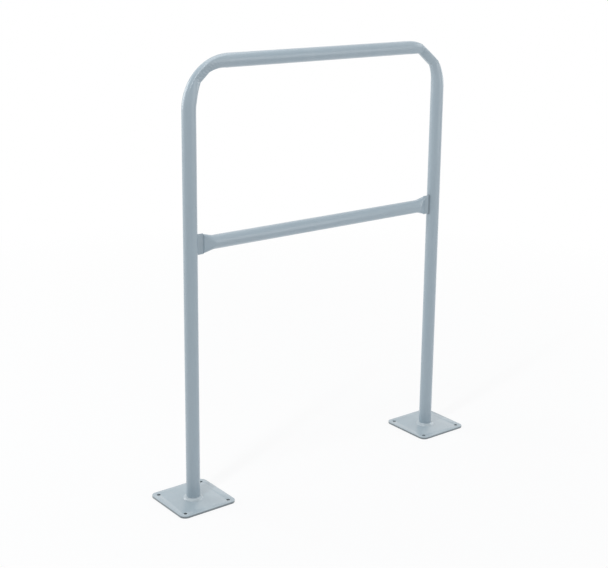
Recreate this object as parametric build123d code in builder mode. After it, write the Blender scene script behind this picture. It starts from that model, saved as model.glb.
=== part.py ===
"""A floor-mounted tubular guard rail.

One tube is bent twice into a hoop, with press bends whose inner side is crushed flat.
A straight tube with flattened ends runs between the posts as the mid rail.
Each post stands on a square base plate with a bolt hole in every corner.
The pieces are welded: a ring of weld around the foot of each post,
and a bead of weld around each flattened end of the mid rail.

The origin is on the floor, midway between the posts. X runs along the rail,
Y is across it and Z is up. All sizes are in millimetres.
"""

import os
from math import atan2, cos, degrees, pi, radians, sin, sqrt

from build123d import *

# Driving dimensions
overall_height = 1066.8
post_spacing = 762.0
tube_diameter = 33.4
tube_wall = 2.6
bend_radius = 107.0
mid_rail_height = 632.0

# Crushed inner side of each press bend, with angles along the bend counted from the post
crush_depth = 9.0
crush_start_angle = 6.0
lower_crease_angle = 38.0
upper_crease_angle = 67.0
crush_onset_power = 1.4

# Section where it is crushed: a round back between two ridges, flat sides and a narrow inner face
ridge_angle = 48.0
bore_ridge_angle = 53.0
inner_corner_angle = 50.0
inner_face_width = 17.0
flat_bulge = 0.5

# Flattened ends of the mid rail
flat_length = 17.0
flare_length = 27.0
seam_gap = 0.3

# Base plates
plate_side = 152.4
plate_thickness = 4.8
plate_corner_radius = 16.0
plate_edge_break = 0.5
hole_spacing = 120.6
hole_diameter = 9.0

# Welds
post_weld_width = 7.5
post_weld_height = 5.5
rail_weld_leg = 3.0
weld_crown = 0.5
weld_toe = 0.4

# Worked out from the above
bend_angle = 90.0
tube_radius = tube_diameter / 2
bore_radius = tube_radius - tube_wall
post_x = post_spacing / 2
top_z = overall_height - tube_radius
bend_start_z = top_z - bend_radius
bend_start_x = post_x - bend_radius
flat_thickness = 2 * tube_wall + seam_gap
flat_height = pi * bore_radius + 2 * tube_wall
flat_end_x = post_x - tube_radius / 2
flat_start_x = post_x - tube_radius - flat_length
flare_start_x = flat_start_x - flare_length
cope_height = 2 * flat_height


def crush_share(angle):
    """How much of the full crush the bend has at one of its angles, from 0 to 1."""
    crush_end_angle = bend_angle - crush_start_angle
    rising = (angle - crush_start_angle) / (lower_crease_angle - crush_start_angle)
    falling = (crush_end_angle - angle) / (crush_end_angle - upper_crease_angle)
    return max(0.0, min(1.0, rising, falling)) ** crush_onset_power


def on_circle(radius, angle):
    """A point of the round tube, at an angle from its side towards the back of the bend."""
    return Vector(radius * sin(radians(angle)), radius * cos(radians(angle)))


def part_way(start, end, share):
    """The point that lies a share of the way from start to end."""
    return start + (end - start) * share


def mirrored(point):
    """The same point on the other side of the rail's middle plane."""
    return Vector(point.X, -point.Y)


def bend_section(angle, radius):
    """Outline of the tube or of its bore at one angle of the right-hand bend.

    The plane's X points away from the centre of the bend, and its Y across the rail.
    Between the two creases the crushed side follows a chord, not the arc of the bend.
    """
    share = crush_share(angle)
    chord_middle = (lower_crease_angle + upper_crease_angle) / 2
    chord_half_angle = (upper_crease_angle - lower_crease_angle) / 2
    off_middle = min(1.0, abs(chord_middle - angle) / chord_half_angle)
    chord_rise = (bend_radius - tube_radius) * (1 - cos(radians(chord_half_angle)))
    inner = radius - crush_depth + chord_rise * (1 - off_middle**2)
    inset = tube_radius - radius

    ridge = on_circle(radius, ridge_angle + (bore_ridge_angle - ridge_angle) * inset / tube_wall)
    crushed_corner = Vector(-inner, inner_face_width / 2 - inset)
    flat_middle = part_way(ridge, crushed_corner, 0.5) + Vector(0, flat_bulge)
    side = part_way(on_circle(radius, 0), flat_middle, share)
    corner = part_way(on_circle(radius, -inner_corner_angle), crushed_corner, share)
    face = part_way(Vector(-radius, 0), Vector(-inner - flat_bulge, 0), share)

    turn = radians(angle)
    outward = Vector(cos(turn), 0, sin(turn))
    centre = Vector(bend_start_x, 0, bend_start_z) + outward * bend_radius
    with BuildSketch(Plane(centre, x_dir=outward, z_dir=(sin(turn), 0, -cos(turn)))) as section:
        with BuildLine():
            ThreePointArc(mirrored(ridge), (radius, 0), ridge)
            ThreePointArc(ridge, side, corner)
            ThreePointArc(corner, face, mirrored(corner))
            ThreePointArc(mirrored(corner), mirrored(side), mirrored(ridge))
        make_face()
    return section.sketch


def between(start, end, steps):
    """Evenly spaced values from start to end, both included."""
    return [start + (end - start) * step / steps for step in range(steps + 1)]


def bent_bar(radius):
    """The hoop as a solid bar: the outside of the tube, or the inside that is taken out of it."""
    stretches = (
        between(0, lower_crease_angle, steps=6),
        between(lower_crease_angle, upper_crease_angle, steps=4),
        between(upper_crease_angle, bend_angle, steps=4),
    )
    with BuildPart() as bar:
        with BuildSketch(Plane((post_x, 0, plate_thickness))):
            Circle(radius)
        extrude(amount=bend_start_z - plate_thickness)
        for angles in stretches:
            loft(sections=[bend_section(angle, radius) for angle in angles])
        with BuildSketch(Plane.YZ):
            with Locations((0, top_z)):
                Circle(radius)
        extrude(amount=bend_start_x)
        mirror(about=Plane.YZ)
    return bar.part


def four_sided_outline(x, side_point, corner, end_point):
    """Outline across the mid rail, of two long sides and two short round ends.

    The points are (y, z) from the middle of the rail. A side that bulges is an arc.
    """
    corner_y, corner_z = corner
    with BuildSketch(Plane((x, 0, mid_rail_height), x_dir=(0, 1, 0), z_dir=(1, 0, 0))) as outline:
        with BuildLine():
            for sign in (1, -1):
                top, bottom = (sign * corner_y, corner_z), (sign * corner_y, -corner_z)
                if side_point > corner_y:
                    ThreePointArc(top, (sign * side_point, 0), bottom)
                else:
                    Line(top, bottom)
                left, right = (-corner_y, sign * corner_z), (corner_y, sign * corner_z)
                ThreePointArc(left, (0, sign * end_point), right)
        make_face()
    return outline.sketch


def rail_bar(radius, half_thickness, half_height):
    """The mid rail as a solid bar: round in the middle, flat and upright at both ends."""
    end_angle = flat_thickness / tube_diameter * pi / 2
    round_corner = (radius * sin(end_angle), radius * cos(end_angle))
    flat_corner = (half_thickness, half_height - half_thickness)

    def round_outline(x):
        return four_sided_outline(x, radius, round_corner, radius)

    def flat_outline(x):
        return four_sided_outline(x, half_thickness, flat_corner, half_height)

    with BuildPart() as bar:
        extrude(round_outline(0), amount=flare_start_x)
        loft(sections=[round_outline(flare_start_x), flat_outline(flat_start_x)])
        extrude(flat_outline(flat_start_x), amount=flat_end_x - flat_start_x)
        mirror(about=Plane.YZ)
    return bar.part


# Hoop: both posts and the top rail are one bent tube
with BuildPart() as hoop_tube:
    add(bent_bar(tube_radius))
    add(bent_bar(bore_radius), mode=Mode.SUBTRACT)

# Mid rail: its flattened ends are cut to the curve of the posts
with BuildPart() as mid_rail:
    add(rail_bar(tube_radius, flat_thickness / 2, flat_height / 2))
    add(rail_bar(bore_radius, seam_gap / 2, flat_height / 2 - tube_wall), mode=Mode.SUBTRACT)
    with Locations((post_x, 0, mid_rail_height), (-post_x, 0, mid_rail_height)):
        Cylinder(tube_radius, cope_height, mode=Mode.SUBTRACT)


def base_plate(side):
    """Square plate under one post, with side -1 for the left and 1 for the right."""
    with BuildPart() as plate:
        with BuildSketch(Plane((side * post_x, 0, 0))):
            Rectangle(plate_side, plate_side)
            fillet(vertices(), radius=plate_corner_radius)
            with GridLocations(hole_spacing, hole_spacing, 2, 2):
                Circle(hole_diameter / 2, mode=Mode.SUBTRACT)
        extrude(amount=plate_thickness)
        rim = plate.faces().sort_by(Axis.Z)[-1].outer_wire().edges()
        chamfer(rim, length=plate_edge_break)
    return plate.part


def foot_weld(side):
    """Ring of fillet weld between the foot of a post and its plate."""
    with BuildPart() as weld:
        foot = Plane((side * post_x, 0, plate_thickness), x_dir=(1, 0, 0), z_dir=(0, -1, 0))
        with BuildSketch(foot):
            with BuildLine():
                root = (tube_radius, 0)
                on_plate = (tube_radius + post_weld_width, 0)
                on_post = (tube_radius, post_weld_height)
                Line(on_post, root)
                Line(root, on_plate)
                SagittaArc(on_plate, on_post, -weld_crown)
            make_face()
        revolve(axis=Axis((side * post_x, 0, 0), (0, 0, 1)))
    return weld.part


def rail_weld(side):
    """Bead of weld around a flattened end of the mid rail, where it meets the post."""
    bead_half_width = flat_thickness / 2 + rail_weld_leg
    root_x = sqrt(tube_radius**2 - bead_half_width**2)
    bead_length = tube_radius + rail_weld_leg - root_x
    narrowing = rail_weld_leg - weld_toe
    start = Plane(
        (side * (post_x - root_x), 0, mid_rail_height), x_dir=(0, 0, 1), z_dir=(-side, 0, 0)
    )
    with BuildPart() as weld:
        with BuildSketch(start):
            SlotOverall(flat_height + 2 * rail_weld_leg, 2 * bead_half_width)
        extrude(amount=bead_length, taper=degrees(atan2(narrowing, bead_length)))
        with BuildSketch(start):
            SlotOverall(flat_height, flat_thickness)
        extrude(amount=bead_length, mode=Mode.SUBTRACT)
        with Locations((side * post_x, 0, mid_rail_height)):
            Cylinder(tube_radius, cope_height, mode=Mode.SUBTRACT)
    return weld.part


pieces = {
    "hoop_tube": hoop_tube.part,
    "mid_rail": mid_rail.part,
    "left_base_plate": base_plate(-1),
    "right_base_plate": base_plate(1),
    "left_foot_weld": foot_weld(-1),
    "right_foot_weld": foot_weld(1),
    "left_rail_weld": rail_weld(-1),
    "right_rail_weld": rail_weld(1),
}

os.makedirs("parts", exist_ok=True)
for name, piece in pieces.items():
    piece.label = name
    export_step(piece, f"parts/{name}.step")
    print(name, piece.is_valid, len(piece.solids()), round(piece.volume))
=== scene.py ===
import bpy, bmesh
from math import asin, atan2, cos, exp, pi, radians, sin, sqrt, tau
from mathutils import Matrix, Vector


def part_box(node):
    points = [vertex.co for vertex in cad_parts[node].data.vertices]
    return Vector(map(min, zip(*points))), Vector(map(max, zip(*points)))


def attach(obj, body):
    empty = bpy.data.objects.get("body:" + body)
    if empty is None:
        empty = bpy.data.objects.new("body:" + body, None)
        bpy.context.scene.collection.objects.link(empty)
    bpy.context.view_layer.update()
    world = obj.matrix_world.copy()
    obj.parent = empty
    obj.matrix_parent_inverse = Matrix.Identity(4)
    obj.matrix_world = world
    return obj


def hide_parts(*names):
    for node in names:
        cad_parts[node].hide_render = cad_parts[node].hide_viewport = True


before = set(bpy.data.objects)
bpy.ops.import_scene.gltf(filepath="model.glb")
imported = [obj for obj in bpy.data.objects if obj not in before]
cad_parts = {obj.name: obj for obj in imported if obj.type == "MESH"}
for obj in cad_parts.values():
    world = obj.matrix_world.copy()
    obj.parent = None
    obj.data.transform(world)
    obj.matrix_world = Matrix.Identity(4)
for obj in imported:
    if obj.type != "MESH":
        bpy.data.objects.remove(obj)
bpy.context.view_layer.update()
print("frame loaded:", ", ".join(sorted(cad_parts)))

# Places read from the frame, in metres
leftPlateLow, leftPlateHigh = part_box("left_base_plate")
rightPlateLow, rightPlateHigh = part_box("right_base_plate")
railLow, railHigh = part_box("mid_rail")
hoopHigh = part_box("hoop_tube")[1]
postX = (rightPlateLow.x + rightPlateHigh.x) / 2
plateTop = leftPlateHigh.z
midRailZ = (railLow.z + railHigh.z) / 2

tube = {"radius": 0.0167, "wall": 0.0026, "sides": 96}
topZ = hoopHigh.z - tube["radius"]


# Materials

class Signal:  # one output socket, so that shader maths reads as an expression
    def __init__(self, tree, socket):
        self.tree, self.socket = tree, socket

    def combine(self, operation, first, second):
        node = self.tree.nodes.new("ShaderNodeMath")
        node.operation = operation
        for slot, value in zip(node.inputs, (first, second)):
            if isinstance(value, Signal):
                self.tree.links.new(value.socket, slot)
            else:
                slot.default_value = value
        return Signal(self.tree, node.outputs[0])

    def __add__(self, other):
        return self.combine("ADD", self, other)

    def __radd__(self, other):
        return self.combine("ADD", other, self)

    def __sub__(self, other):
        return self.combine("SUBTRACT", self, other)

    def __rsub__(self, other):
        return self.combine("SUBTRACT", other, self)

    def __mul__(self, other):
        return self.combine("MULTIPLY", self, other)

    def __rmul__(self, other):
        return self.combine("MULTIPLY", other, self)


class Finish:  # the nodes of a material or a world, and the one method that adds them
    def __init__(self, owner):
        owner.use_nodes = True
        self.owner, self.tree = owner, owner.node_tree
        self.tree.nodes.clear()

    def node(self, kind, settings=None, sockets=None, output=0):
        made = self.tree.nodes.new(kind)
        for key, value in (settings or {}).items():
            if key == "stops":
                while len(made.color_ramp.elements) < len(value):
                    made.color_ramp.elements.new(0.5)
                for element, (place, colour) in zip(made.color_ramp.elements, value):
                    element.position, element.color = place, colour
            else:
                setattr(made, key, value)
        for key, value in (sockets or {}).items():
            if isinstance(value, Signal):
                self.tree.links.new(value.socket, made.inputs[key])
            else:
                made.inputs[key].default_value = value
        return Signal(self.tree, made.outputs[output]) if made.outputs else None


paint = {
    "colour": (0.375, 0.452, 0.500),         # light blue-grey, satin
    "worn": (0.425, 0.490, 0.530),           # where the paint lies thin
    "colourFrom": 0.36, "wornFrom": 0.66,    # how thin the paint is where each of them is reached
    # painted shade and painted light: the tubes get a darker copy of the one paint and the plates a lighter
    # one, for how upright and upward faces are lit
    "tubeShadeTint": (0.88, 0.92, 0.95), "plateLightTint": (1.06, 1.07, 1.07),
    # painted light on the foot beads and painted shade on the right rail bead: lighter and darker copies of
    # the paint
    "footLightTint": (1.16, 1.14, 1.12), "beadShadeTint": (0.50, 0.53, 0.56),
    "plateSideShadeTint": (0.50, 0.50, 0.50),          # painted shade on the sides of the plates and the walls of their holes
    # each pattern: scale, detail and roughness
    "clouds": (9.0, 4.0, 0.60), "streaks": (99.0, 3.0, 0.55),
    "specks": (260.0, 2.0, 0.50), "peel": (620.0, 1.0, 0.40),
    "streakStretch": 0.06,                   # clouds and streaks are drawn out along a tube
    "cloudShare": 0.55, "streakShare": 0.30, "speckShare": 0.15,
    "roughness": 0.31, "streakRoughness": 0.10, "speckRoughness": 0.06,
    "ior": 1.48, "coatWeight": 0.5, "coatRoughness": 0.20,
    "peelHeight": 0.00003, "peelStrength": 0.35, "streakRelief": 1.5,
}


def greyPaint(name, tint, streakAxis=None):
    finish = Finish(bpy.data.materials.new(name))
    stretch = [paint["streakStretch"] if axis == streakAxis else 1 for axis in "XYZ"]
    place = finish.node("ShaderNodeTexCoord", output="Object")
    along = finish.node("ShaderNodeMapping", sockets={"Vector": place, "Scale": stretch})

    def pattern(part, vector):
        scale, detail, roughness = paint[part]
        return finish.node("ShaderNodeTexNoise", sockets={
            "Vector": vector, "Scale": scale, "Detail": detail, "Roughness": roughness})

    def tinted(colour):
        return tuple(value * share for value, share in zip(colour, tint)) + (1,)

    clouds, streaks = pattern("clouds", along), pattern("streaks", along)
    specks, peel = pattern("specks", place), pattern("peel", place)
    thinness = clouds * paint["cloudShare"] + streaks * paint["streakShare"] + specks * paint["speckShare"]
    stops = [(paint["colourFrom"], tinted(paint["colour"])), (paint["wornFrom"], tinted(paint["worn"]))]
    colour = finish.node("ShaderNodeValToRGB", {"stops": stops}, {"Fac": thinness})
    rough = (paint["roughness"] + (streaks - 0.5) * paint["streakRoughness"]
             + (specks - 0.5) * paint["speckRoughness"])
    bump = finish.node("ShaderNodeBump", sockets={
        "Height": peel + streaks * paint["streakRelief"],
        "Strength": paint["peelStrength"], "Distance": paint["peelHeight"]})
    shader = finish.node("ShaderNodeBsdfPrincipled", sockets={
        "Base Color": colour, "Roughness": rough, "Normal": bump, "IOR": paint["ior"],
        "Coat Weight": paint["coatWeight"], "Coat Roughness": paint["coatRoughness"]})
    finish.node("ShaderNodeOutputMaterial", sockets={"Surface": shader})
    return finish.owner


# hoop, mid rail and left bead paints are darkened copies (painted shade); the plate paint is a lightened copy
# (painted light)
hoopPaint = greyPaint("hoop paint", paint["tubeShadeTint"], "Z")
railPaint = greyPaint("mid rail paint", paint["tubeShadeTint"], "X")
platePaint = greyPaint("plate paint", paint["plateLightTint"])
plateSideShadePaint = greyPaint("plate side shade paint", paint["plateSideShadeTint"])
weldPaint = greyPaint("weld paint", paint["tubeShadeTint"])
# right rail bead paint is a darkened copy: painted shade at its joint with the post
shadedWeldPaint = greyPaint("shaded weld paint", paint["beadShadeTint"])
# foot bead paint is a lightened copy: painted light
footWeldPaint = greyPaint("foot weld paint", paint["footLightTint"])
print("materials made")


# Modelling helpers

mergeDistance = 0.000001


def deselectAll():
    bpy.ops.object.select_all(action="DESELECT")


def nameIt(name):
    piece = bpy.context.object
    piece.name = piece.data.name = name
    return piece


def placeInMesh(piece):    # moves the object to the origin and leaves its shape where it is
    deselectAll()
    piece.select_set(True)
    bpy.context.view_layer.objects.active = piece
    bpy.ops.object.transform_apply(location=True, rotation=True, scale=True)


def settle(piece, material, angle):
    placeInMesh(piece)
    bpy.ops.object.shade_smooth_by_angle(angle=radians(angle))
    piece.data.materials.clear()
    piece.data.materials.append(material)


def finishModifiers(piece):
    bpy.context.view_layer.objects.active = piece
    for modifier in list(piece.modifiers):
        bpy.ops.object.modifier_apply(modifier=modifier.name)


def pull(x=0, y=0, z=0):    # extrudes what is selected
    bpy.ops.mesh.extrude_region_move(TRANSFORM_OT_translate={"value": (x, y, z)})


def mergeAndTurnOut():    # joins doubled corners and points the faces outwards
    bpy.ops.mesh.select_all(action="SELECT")
    bpy.ops.mesh.remove_doubles(threshold=mergeDistance)
    bpy.ops.mesh.normals_make_consistent(inside=False)


def signOf(value):
    return 1 if value > 0 else -1


def clamp(share):
    return max(0.0, min(1.0, share))


def smooth(share):
    share = clamp(share)
    return share * share * (3 - 2 * share)


def partWay(start, end, share):
    return tuple(one + (other - one) * share for one, other in zip(start, end))


# Hoop: both posts and the top rail

hoop = {
    "bendRadius": 0.107, "bendSteps": 150,
    "ridgeAngle": radians(49.5),    # where the flat side of a bend meets its round back
    "cornerAngle": radians(49.5),   # where it meets the crushed inner face
    "flatBulge": 0.0005,
    "ridgeSoftness": radians(2.5),
    "evenedFrom": 0.25,             # share of the crush from which the ridges are fully evened
    "poleAngle": radians(85),       # beyond this, at the back and the inner face, they are left as they are
    "flatMiddle": radians(-5), "flatSpan": radians(38),    # where wrinkles show around the tube
}
pressedBends = {    # angles along a bend are counted from its post, and -1 is the left bend
    -1: {
        "crushFrom": radians(12), "crushTo": radians(87), "onsets": (1.5, 1.0),
        "creases": ((radians(39), 0.0082), (radians(57), 0.0082)),    # place and how far in
        "backCorners": None, "faceHalf": 0.0045, "innerPush": 0.0, "flatShare": 1.0,
        "wrinkleDepth": 0.00044, "wrinkleLength": radians(3.8), "wrinkleTilt": 0.05,
        "wrinkleMiddle": radians(56), "wrinkleSpan": radians(20),
        "marks": (),
    },
    1: {
        "crushFrom": radians(5), "crushTo": radians(86), "onsets": (1.2, 1.8),
        "creases": ((radians(36), 0.0082), (radians(66), 0.0082)),
        "backCorners": (radians(35), radians(69)),    # the back is straight between two kinks
        "faceHalf": 0.0050, "innerPush": 0.0010, "flatShare": 0.55,
        "wrinkleDepth": 0.00012, "wrinkleLength": radians(8), "wrinkleTilt": -0.02,
        "wrinkleMiddle": radians(50), "wrinkleSpan": radians(18),
        # each mark: place along and around, half sizes along and around, height
        "marks": ((radians(68), radians(5), radians(1.3), radians(48), 0.0009),
                  (radians(64), radians(5), radians(1.8), radians(40), -0.0009),
                  (radians(36), radians(30), radians(1.6), radians(8), -0.0016),
                  (radians(39), radians(-20), radians(1.5), radians(20), -0.0007)),
    },
}
bendStartZ = topZ - hoop["bendRadius"]
bendStartX = postX - hoop["bendRadius"]


def chordReach(angle, first, last):    # how far a straight line between two points is from the bend's centre
    (firstAngle, firstReach), (lastAngle, lastReach) = first, last
    span = firstReach * lastReach * sin(lastAngle - firstAngle)
    return span / (firstReach * sin(angle - firstAngle) + lastReach * sin(lastAngle - angle))


def innerDepth(angle, bend):    # how far in the crushed face lies, straight between the creases
    (lower, lowerDepth), (upper, upperDepth) = bend["creases"]
    if angle < lower:
        return lowerDepth
    if angle > upper:
        return upperDepth
    first, last = (lower, hoop["bendRadius"] - lowerDepth), (upper, hoop["bendRadius"] - upperDepth)
    return hoop["bendRadius"] - chordReach(angle, first, last)


def backDepth(angle, bend):    # how far the back lies inside the round tube
    corners = bend["backCorners"]
    if not corners or not corners[0] < angle < corners[1]:
        return 0.0
    roundReach = hoop["bendRadius"] + tube["radius"]
    return roundReach - chordReach(angle, (corners[0], roundReach), (corners[1], roundReach))


def crushShare(angle, bend):    # 0 on the round tube, 1 where the bend is fully crushed
    start, end = bend["crushFrom"], bend["crushTo"]
    lower, upper = [place for place, depth in bend["creases"]]
    rising = clamp((angle - start) / (lower - start)) ** bend["onsets"][0]
    falling = clamp((end - angle) / (end - upper)) ** bend["onsets"][1]
    return min(rising, falling)


def pressedPoint(turn, share, back, inner, bend):    # as (outward, across), turned from the side to the back
    radius = tube["radius"]
    ridge, corner = hoop["ridgeAngle"], -hoop["cornerAngle"]

    def roundPoint(place):
        outward = radius * sin(place)
        push = back if outward > 0 else bend["innerPush"] * share
        return outward * (1 - push / radius), radius * cos(place)

    if turn >= ridge:
        return roundPoint(turn)
    crushedCorner = (-inner, bend["faceHalf"])
    if turn >= corner:
        along = (ridge - turn) / (ridge - corner)
        outward, across = partWay(roundPoint(ridge), crushedCorner, along)
        flat = (outward, across + hoop["flatBulge"] * sin(pi * along))
        pressed = share * (bend["flatShare"] + (1 - bend["flatShare"]) * along)
        return partWay(roundPoint(turn), flat, pressed)
    along = (corner - turn) / (pi / 2 + corner)
    face = partWay(crushedCorner, (-inner - hoop["flatBulge"], 0), along)
    return partWay(roundPoint(turn), face, share)


def wrinkleHeight(angle, turn, share, bend):
    fromMiddle = angle - bend["wrinkleMiddle"]
    wave = sin(tau * (fromMiddle + bend["wrinkleTilt"] * turn) / bend["wrinkleLength"])
    aroundTube = exp(-((turn - hoop["flatMiddle"]) / hoop["flatSpan"]) ** 4)
    alongBend = exp(-(fromMiddle / bend["wrinkleSpan"]) ** 4)
    return bend["wrinkleDepth"] * wave * aroundTube * alongBend * share


def markHeight(angle, turn, bend):
    total = 0.0
    for markAngle, markTurn, halfAngle, halfTurn, height in bend["marks"]:
        offAngle, offTurn = (angle - markAngle) / halfAngle, (turn - markTurn) / halfTurn
        total += height * exp(-offAngle ** 2 - offTurn ** 2)
    return total


def crushBends(mesh):
    softness = hoop["ridgeSoftness"]
    for vertex in mesh.vertices:
        x, y, z = vertex.co
        side = signOf(x)
        bend = pressedBends[side]
        across, up = abs(x) - bendStartX, z - bendStartZ
        if across <= 0 or up <= 0:
            continue
        reach = sqrt(across * across + up * up)
        angle = asin(up / reach)
        turn = atan2(reach - hoop["bendRadius"], abs(y))
        share = crushShare(angle, bend)
        section = (share, backDepth(angle, bend), innerDepth(angle, bend), bend)
        here = pressedPoint(turn, *section)
        if abs(turn) < hoop["poleAngle"]:
            before = pressedPoint(min(pi / 2, turn + softness), *section)
            after = pressedPoint(max(-pi / 2, turn - softness), *section)
            evened = partWay(here, partWay(before, after, 0.5), 0.5)
            here = partWay(here, evened, min(1.0, share / hoop["evenedFrom"]))
        outward, aside = here
        aside += wrinkleHeight(angle, turn, share, bend) + markHeight(angle, turn, bend)
        reach = hoop["bendRadius"] + outward
        vertex.co = (side * (bendStartX + reach * cos(angle)), signOf(y) * aside,
                     bendStartZ + reach * sin(angle))


def makeHoop():
    deselectAll()
    bpy.ops.mesh.primitive_circle_add(
        vertices=tube["sides"], radius=tube["radius"], fill_type="NOTHING",
        location=(-postX, 0, plateTop))
    piece = nameIt("hoop")
    bpy.ops.object.mode_set(mode="EDIT")
    bpy.ops.mesh.select_all(action="SELECT")
    pull(z=bendStartZ - plateTop)
    bpy.ops.mesh.spin(steps=hoop["bendSteps"], angle=-pi / 2,
                      center=(-bendStartX, 0, bendStartZ), axis=(0, 1, 0))
    pull(x=2 * bendStartX)
    bpy.ops.mesh.spin(steps=hoop["bendSteps"], angle=-pi / 2,
                      center=(bendStartX, 0, bendStartZ), axis=(0, 1, 0))
    pull(z=plateTop - bendStartZ)
    mergeAndTurnOut()
    bpy.ops.object.mode_set(mode="OBJECT")
    placeInMesh(piece)
    crushBends(piece.data)
    wall = piece.modifiers.new("wall", "SOLIDIFY")
    wall.thickness, wall.offset = tube["wall"], -1
    finishModifiers(piece)
    settle(piece, hoopPaint, angle=60)
    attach(piece, "root")
    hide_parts("hoop_tube")
    print("hoop made:", len(piece.data.polygons), "faces")


# Mid rail: a tube with its ends pinched flat and upright

midRail = {
    "flatLength": 0.017, "flareLength": 0.027, "seamGap": 0.0003,
    "stepShare": 0.20,             # how much of the opening happens right at the jaw's edge
    "stepLength": 0.0016,
    "easedShare": 0.35,            # how much of the rest eases in and out instead of running straight
    "wallShare": 0.96,             # a little thinner than the tube, so that the pinched walls don't touch
    "jawMark": 0.0002, "jawMarkPlace": 0.0006, "jawMarkHalf": 0.0007,
    "bite": 0.0001, "cutReach": 0.001,    # how far the end goes into the post, and what counts as the end
    "flatRings": (0.006, 0.0006, 0.0), "stepRings": 4, "flareRings": 26,
}
flatThickness = 2 * tube["wall"] + midRail["seamGap"]
flatHeight = pi * (tube["radius"] - tube["wall"]) + 2 * tube["wall"]
flatEndX = postX - tube["radius"] + midRail["bite"]
flatStartX = postX - tube["radius"] - midRail["flatLength"]


def pinchShare(x):     # 1 on the flat, 0 on the round tube
    beyond = flatStartX - abs(x)
    if beyond <= 0:
        return 1.0
    opened = beyond / midRail["flareLength"]
    step = midRail["stepShare"] * smooth(beyond / midRail["stepLength"])
    along = smooth(opened) * midRail["easedShare"] + min(1, opened) * (1 - midRail["easedShare"])
    return max(0.0, 1 - step - (1 - midRail["stepShare"]) * along)


def squeezedPoint(share, turn):    # as (across, up), on an outline of two straight sides and two round caps
    thickness = tube["radius"] * 2 * (1 - share) + flatThickness * share
    straight = share * (flatHeight - flatThickness)
    cap = pi * thickness / 2
    girth = 2 * straight + 2 * cap
    walk = ((turn % tau) / tau * girth + cap / 2) % girth    # turn 0 is the middle of the top cap
    half, tip = thickness / 2, straight / 2
    if walk < cap:
        swing = walk / half - pi / 2
        return half * sin(swing), tip + half * cos(swing)
    walk -= cap
    if walk < straight:
        return half, tip - walk
    walk -= straight
    if walk < cap:
        swing = walk / half - pi / 2
        return -half * sin(swing), -tip - half * cos(swing)
    return -half, -tip + (walk - cap)


def postSurface(across):    # how far out the near side of a post is, this far from its middle
    return postX - sqrt(tube["radius"] ** 2 - across ** 2)


def railStations():    # where the mid rail gets a ring, from its left end to its right end
    step, flare = midRail["stepLength"], midRail["flareLength"]
    stepRings, flareRings = midRail["stepRings"], midRail["flareRings"]
    rings = [flatStartX + place for place in midRail["flatRings"]]
    rings += [flatStartX - step * ring / stepRings for ring in range(1, stepRings + 1)]
    rings += [flatStartX - step - (flare - step) * ring / flareRings for ring in range(1, flareRings + 1)]
    return [-ring for ring in rings] + rings[::-1] + [flatEndX]


def makeMidRail():
    deselectAll()
    bpy.ops.mesh.primitive_circle_add(
        vertices=tube["sides"], radius=tube["radius"], fill_type="NOTHING",
        location=(-flatEndX, 0, midRailZ), rotation=(0, pi / 2, 0))
    piece = nameIt("midRail")
    placeInMesh(piece)
    bpy.ops.object.mode_set(mode="EDIT")
    bpy.ops.mesh.select_all(action="SELECT")
    here = -flatEndX
    for station in railStations():
        pull(x=station - here)
        here = station
    mergeAndTurnOut()
    bpy.ops.object.mode_set(mode="OBJECT")
    for vertex in piece.data.vertices:
        x, y, z = vertex.co
        across, up = squeezedPoint(pinchShare(x), atan2(y, z - midRailZ))
        fromMark = (flatStartX + midRail["jawMarkPlace"] - abs(x)) / midRail["jawMarkHalf"]
        across -= signOf(across) * midRail["jawMark"] * exp(-fromMark ** 2)
        vertex.co.y, vertex.co.z = across, midRailZ + up
        if abs(x) > flatEndX - midRail["cutReach"]:    # the end is cut to the curve of the post
            vertex.co.x = signOf(x) * (postSurface(across) + midRail["bite"])
    wall = piece.modifiers.new("wall", "SOLIDIFY")
    wall.thickness, wall.offset = tube["wall"] * midRail["wallShare"], -1
    finishModifiers(piece)
    settle(piece, railPaint, angle=40)
    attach(piece, "root")
    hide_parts("mid_rail")
    print("mid rail made:", len(piece.data.polygons), "faces")


# Base plates

plate = {
    "cornerRadius": 0.016, "cornerSteps": 12,
    "holeRadius": 0.0045, "holeSpacing": 0.1206, "holeSides": 40,
    "drillLength": 3,              # in thicknesses of the plate
    "edgeRadius": 0.0007, "edgeSteps": 2, "edgeAngle": radians(50),
    "sideSteepness": 0.3,          # a face whose normal rises less than this is a side, and gets the painted shade
}


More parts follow.
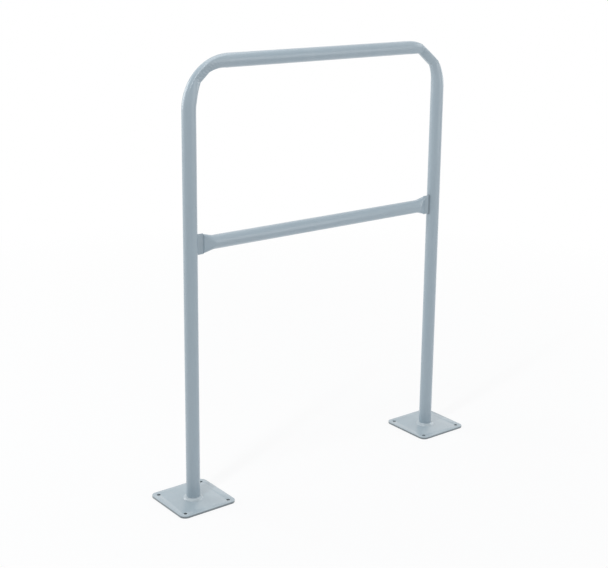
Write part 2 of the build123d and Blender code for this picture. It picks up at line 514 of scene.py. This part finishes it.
def makePlate(name, node):
    low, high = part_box(node)
    centre, size = (low + high) / 2, high - low
    deselectAll()
    bpy.ops.mesh.primitive_cube_add(size=1, location=centre, scale=size)
    piece = nameIt(name)
    placeInMesh(piece)
    bpy.ops.object.mode_set(mode="EDIT")
    bpy.ops.mesh.select_mode(type="EDGE")
    bpy.ops.mesh.select_all(action="DESELECT")
    mesh = bmesh.from_edit_mesh(piece.data)
    for edge in mesh.edges:
        one, two = edge.verts
        if abs(one.co.z - two.co.z) > size.z / 2:    # the four upright edges
            edge.select_set(True)
    bmesh.update_edit_mesh(piece.data)
    bpy.ops.mesh.bevel(offset=plate["cornerRadius"], segments=plate["cornerSteps"], affect="EDGES")
    bpy.ops.mesh.select_mode(type="VERT")
    bpy.ops.object.mode_set(mode="OBJECT")
    half = plate["holeSpacing"] / 2
    for across, along in ((-half, -half), (-half, half), (half, -half), (half, half)):
        deselectAll()
        bpy.ops.mesh.primitive_cylinder_add(
            vertices=plate["holeSides"], radius=plate["holeRadius"], depth=size.z * plate["drillLength"],
            location=centre + Vector((across, along, 0)))
        drill = bpy.context.object
        cut = piece.modifiers.new("hole", "BOOLEAN")
        cut.operation, cut.object, cut.solver = "DIFFERENCE", drill, "EXACT"
        finishModifiers(piece)
        bpy.data.objects.remove(drill)
    soften = piece.modifiers.new("edges", "BEVEL")
    soften.width, soften.segments = plate["edgeRadius"], plate["edgeSteps"]
    soften.limit_method, soften.angle_limit = "ANGLE", plate["edgeAngle"]
    finishModifiers(piece)
    settle(piece, platePaint, angle=40)
    # the sides and hole walls take the darker paint: painted shade
    piece.data.materials.append(plateSideShadePaint)
    for face in piece.data.polygons:
        face.material_index = 1 if abs(face.normal.z) < plate["sideSteepness"] else 0
    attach(piece, "root")
    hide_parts(node)
    print(name, "made:", len(piece.data.polygons), "faces")


# Welds: rings are stacked on an open circle, moved to the bead's surface and closed

bead = {
    "ringPitch": 0.001,            # only until the rings are moved
    "rippleRoundness": 0.7,        # below 1, the ripples have broad tops and narrow valleys
    "diagonal": 0.707,             # share of the bulge that goes outwards, and upwards
}
footWeld = {
    "width": 0.0075, "height": 0.0055, "crown": 0.0006, "bite": 0.0002,
    "ripples": 46, "rippleDepth": 0.00035, "rippleLag": 1.9,
    "wanders": ((0.05, 3, 2), (0.03, 7, 0)),    # each: share of the bead's size, waves around it, phase
    "sides": 184, "rows": 9,
}
railWeld = {
    "leg": 0.0030, "crown": 0.0003, "tabBite": 0.0001, "postBite": 0.0002,
    "ripples": 34, "rippleDepth": 0.00022, "rippleLag": 0,
    "wanders": ((0.06, 3, 1),),
    "sides": 150, "rows": 6, "ringRadius": 0.02,    # the radius too is only to start with
}


def stackRings(rows):
    bpy.ops.object.mode_set(mode="EDIT")
    bpy.ops.mesh.select_all(action="SELECT")
    for row in range(rows + 1):
        pull(z=bead["ringPitch"])
    bpy.ops.object.mode_set(mode="OBJECT")


def bulgeAt(weld, turn, part):    # how far the bead stands over its straight slope
    swell = sin(pi * part)
    phase = weld["ripples"] * turn - weld["rippleLag"] * swell
    ripple = abs(sin(phase / 2)) ** bead["rippleRoundness"] * weld["rippleDepth"]
    return (weld["crown"] + ripple) * swell * bead["diagonal"]


def wanderAt(weld, turn, startTurn):
    return 1 + sum(share * sin(waves * turn + phase * startTurn) for share, waves, phase in weld["wanders"])


def closeBead(piece):
    bpy.ops.object.mode_set(mode="EDIT")
    bpy.ops.mesh.select_mode(type="EDGE")
    bpy.ops.mesh.select_all(action="DESELECT")
    bpy.ops.mesh.select_non_manifold()
    bpy.ops.mesh.bridge_edge_loops()
    mergeAndTurnOut()
    bpy.ops.mesh.select_mode(type="VERT")
    bpy.ops.object.mode_set(mode="OBJECT")


def makeFootWeld(name, node, side, startTurn):
    centre = Vector((side * postX, 0, plateTop))
    inner, rows = tube["radius"] - footWeld["bite"], footWeld["rows"]
    deselectAll()
    bpy.ops.mesh.primitive_circle_add(
        vertices=footWeld["sides"], radius=tube["radius"], fill_type="NOTHING", location=centre)
    piece = nameIt(name)
    placeInMesh(piece)
    stackRings(rows)
    for vertex in piece.data.vertices:
        row = round((vertex.co.z - plateTop) / bead["ringPitch"])
        turn = atan2(vertex.co.y, vertex.co.x - centre.x)
        if row > rows:
            out, up = 0.0, 0.0                              # back to the root under the bead
        else:
            part = row / rows
            bulge = bulgeAt(footWeld, turn - startTurn, part)
            wander = wanderAt(footWeld, turn, startTurn)
            out = (footWeld["width"] * (1 - part) + bulge) * wander
            up = (footWeld["height"] * part + bulge) * wander
        vertex.co = (centre.x + (inner + out) * cos(turn), (inner + out) * sin(turn), plateTop + up)
    closeBead(piece)
    settle(piece, footWeldPaint, angle=60)
    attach(piece, "root")
    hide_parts(node)
    print(name, "made:", len(piece.data.polygons), "faces")


def tabPoint(turn):    # outline of the flattened end with its outward direction
    across, up = squeezedPoint(1.0, turn)
    tip = (flatHeight - flatThickness) / 2
    if abs(up) > tip:
        outward = Vector((across, up - tip * signOf(up))).normalized()
    else:
        outward = Vector((signOf(across), 0))
    return across, up, outward


def makeRailWeld(name, node, side, startTurn, beadPaint):
    leg, rows = railWeld["leg"], railWeld["rows"]
    tabBite, postBite = railWeld["tabBite"], railWeld["postBite"]
    deselectAll()
    bpy.ops.mesh.primitive_circle_add(
        vertices=railWeld["sides"], radius=railWeld["ringRadius"], fill_type="NOTHING", location=(0, 0, 0))
    piece = nameIt(name)
    stackRings(rows)
    for vertex in piece.data.vertices:
        row = round(vertex.co.z / bead["ringPitch"])
        turn = atan2(vertex.co.x, vertex.co.y)
        across, up, outward = tabPoint(turn)
        if row > rows:
            out, away = -2 * tabBite, -2 * postBite         # back to the root under the bead
        else:
            part = row / rows
            bulge = bulgeAt(railWeld, turn - startTurn, part)
            wander = wanderAt(railWeld, turn, startTurn)
            out = (leg * part + bulge) * wander - tabBite
            away = (leg * (1 - part) + bulge) * wander - postBite
        y = across + outward.x * out
        vertex.co = (side * (postSurface(y) - away), y, midRailZ + up + outward.y * out)
    closeBead(piece)
    settle(piece, beadPaint, angle=60)
    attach(piece, "root")
    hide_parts(node)
    print(name, "made:", len(piece.data.polygons), "faces")


makeHoop()
makeMidRail()
makePlate("leftPlate", "left_base_plate")
makePlate("rightPlate", "right_base_plate")
makeFootWeld("leftFootBead", "left_foot_weld", side=-1, startTurn=0.4)
makeFootWeld("rightFootBead", "right_foot_weld", side=1, startTurn=1.7)
makeRailWeld("leftRailBead", "left_rail_weld", side=-1, startTurn=0.9, beadPaint=weldPaint)
makeRailWeld("rightRailBead", "right_rail_weld", side=1, startTurn=2.3, beadPaint=shadedWeldPaint)


# Floor, light and camera

studio = {
    "floorSize": 60.0, "floorColour": (0.93, 0.935, 0.94, 1),
    "worldColour": (0.95, 0.97, 1, 1), "worldLevel": 0.42,
    "nearWhite": 0.84, "nearReach": 0.5, "farReach": 2.6,    # the floor turns pure white away from the part
    "plateInset": 0.006,                                     # and has no white of its own under the plates
}
underPlate = (leftPlateHigh.x - leftPlateLow.x) / 2 - studio["plateInset"]
pureWhite = (1, 1, 1, 1)


def seenRays(finish):    # 1 for the camera's own rays, and for those by a reflection or through glass
    camera, glossy, through = [finish.node("ShaderNodeLightPath", output=ray) for ray in (
        "Is Camera Ray", "Is Glossy Ray", "Is Transmission Ray")]
    seen = finish.node("ShaderNodeMath", {"operation": "MAXIMUM"}, {0: camera, 1: glossy})
    return finish.node("ShaderNodeMath", {"operation": "MAXIMUM"}, {0: seen, 1: through})


def makeFloor():
    finish = Finish(bpy.data.materials.new("studio floor"))
    seen = seenRays(finish)
    place = finish.node("ShaderNodeTexCoord", output="Object")
    reach = finish.node("ShaderNodeVectorMath", {"operation": "LENGTH"}, {0: place}, output="Value")
    whiteShare = finish.node("ShaderNodeMapRange", sockets={
        "Value": reach, "From Min": studio["nearReach"], "From Max": studio["farReach"],
        "To Min": studio["nearWhite"], "To Max": 1.0})
    across, along = [finish.node("ShaderNodeSeparateXYZ", sockets={"Vector": place}, output=axis)
                     for axis in "XY"]
    fromPost = finish.node("ShaderNodeMath", {"operation": "ABSOLUTE"}, {0: across}) - postX
    underX, underY = [finish.node("ShaderNodeMath", {"operation": "COMPARE"}, {0: way, 1: 0.0, 2: underPlate})
                      for way in (fromPost, along)]
    whiteShare = whiteShare * (1 - underX * underY)
    plain = finish.node("ShaderNodeBsdfDiffuse", sockets={"Color": studio["floorColour"]})
    white = finish.node("ShaderNodeEmission", sockets={"Color": pureWhite, "Strength": 1.0})
    mixed = finish.node("ShaderNodeMixShader", sockets={"Fac": seen * whiteShare, 1: plain, 2: white})
    finish.node("ShaderNodeOutputMaterial", sockets={"Surface": mixed})
    deselectAll()
    bpy.ops.mesh.primitive_plane_add(size=studio["floorSize"], location=(0, 0, 0))
    floor = nameIt("studioFloor")
    floor.data.materials.append(finish.owner)


def makeWorld():
    finish = Finish(bpy.data.worlds.new("studio"))
    plain = finish.node("ShaderNodeBackground", sockets={
        "Color": studio["worldColour"], "Strength": studio["worldLevel"]})
    white = finish.node("ShaderNodeBackground", sockets={"Color": pureWhite, "Strength": 1.0})
    mixed = finish.node("ShaderNodeMixShader", sockets={"Fac": seenRays(finish), 1: plain, 2: white})
    finish.node("ShaderNodeOutputWorld", sockets={"Surface": mixed})
    bpy.context.scene.world = finish.owner


lamps = {
    "overhead": {"place": (0.2, 0.6, 3.4), "size": (2.2, 2.2), "power": 21},
    "backLeft": {"place": (-2.2, 2.6, 1.6), "size": (2.2, 2.2), "power": 42},
    "right": {"place": (3.3, -0.4, 1.6), "size": (2.2, 2.2), "power": 22},
    "front": {"place": (1.6, -3.0, 1.2), "size": (2.2, 2.2), "power": 20},
    "ridgeStrip": {"place": (-1.4, -0.5, 2.7), "size": (0.10, 1.9), "power": 19},
}
lampAim = (0, 0, 0.5)


def makeLamps():
    for name, lamp in lamps.items():
        light = bpy.data.lights.new(name, "AREA")
        light.shape, light.energy = "RECTANGLE", lamp["power"]
        light.size, light.size_y = lamp["size"]
        holder = bpy.data.objects.new(name, light)
        bpy.context.collection.objects.link(holder)
        holder.location = lamp["place"]
        aim = Vector(lampAim) - holder.location
        holder.rotation_euler = aim.to_track_quat("-Z", "Y").to_euler()


view = {
    "place": (-1.8221, -2.284, 1.3461), "yaw": 37.77, "pitch": 13.75, "roll": -0.62,
    "lens": 71.9, "sensor": 36.0, "shiftY": -0.1, "clip": (0.1, 200),
}


def makeCamera():
    data = bpy.data.cameras.new("camera")
    camera = bpy.data.objects.new("camera", data)
    bpy.context.collection.objects.link(camera)
    data.lens, data.sensor_width, data.shift_y = view["lens"], view["sensor"], view["shiftY"]
    data.clip_start, data.clip_end = view["clip"]
    turn = (Matrix.Rotation(radians(-view["yaw"]), 4, "Z")
            @ Matrix.Rotation(radians(90 - view["pitch"]), 4, "X")
            @ Matrix.Rotation(radians(-view["roll"]), 4, "Z"))
    camera.matrix_world = Matrix.Translation(view["place"]) @ turn
    bpy.context.scene.camera = camera


makeFloor()
makeWorld()
makeLamps()
makeCamera()
bpy.context.scene.view_settings.view_transform = "Standard"
print("stage, lamps and camera set")
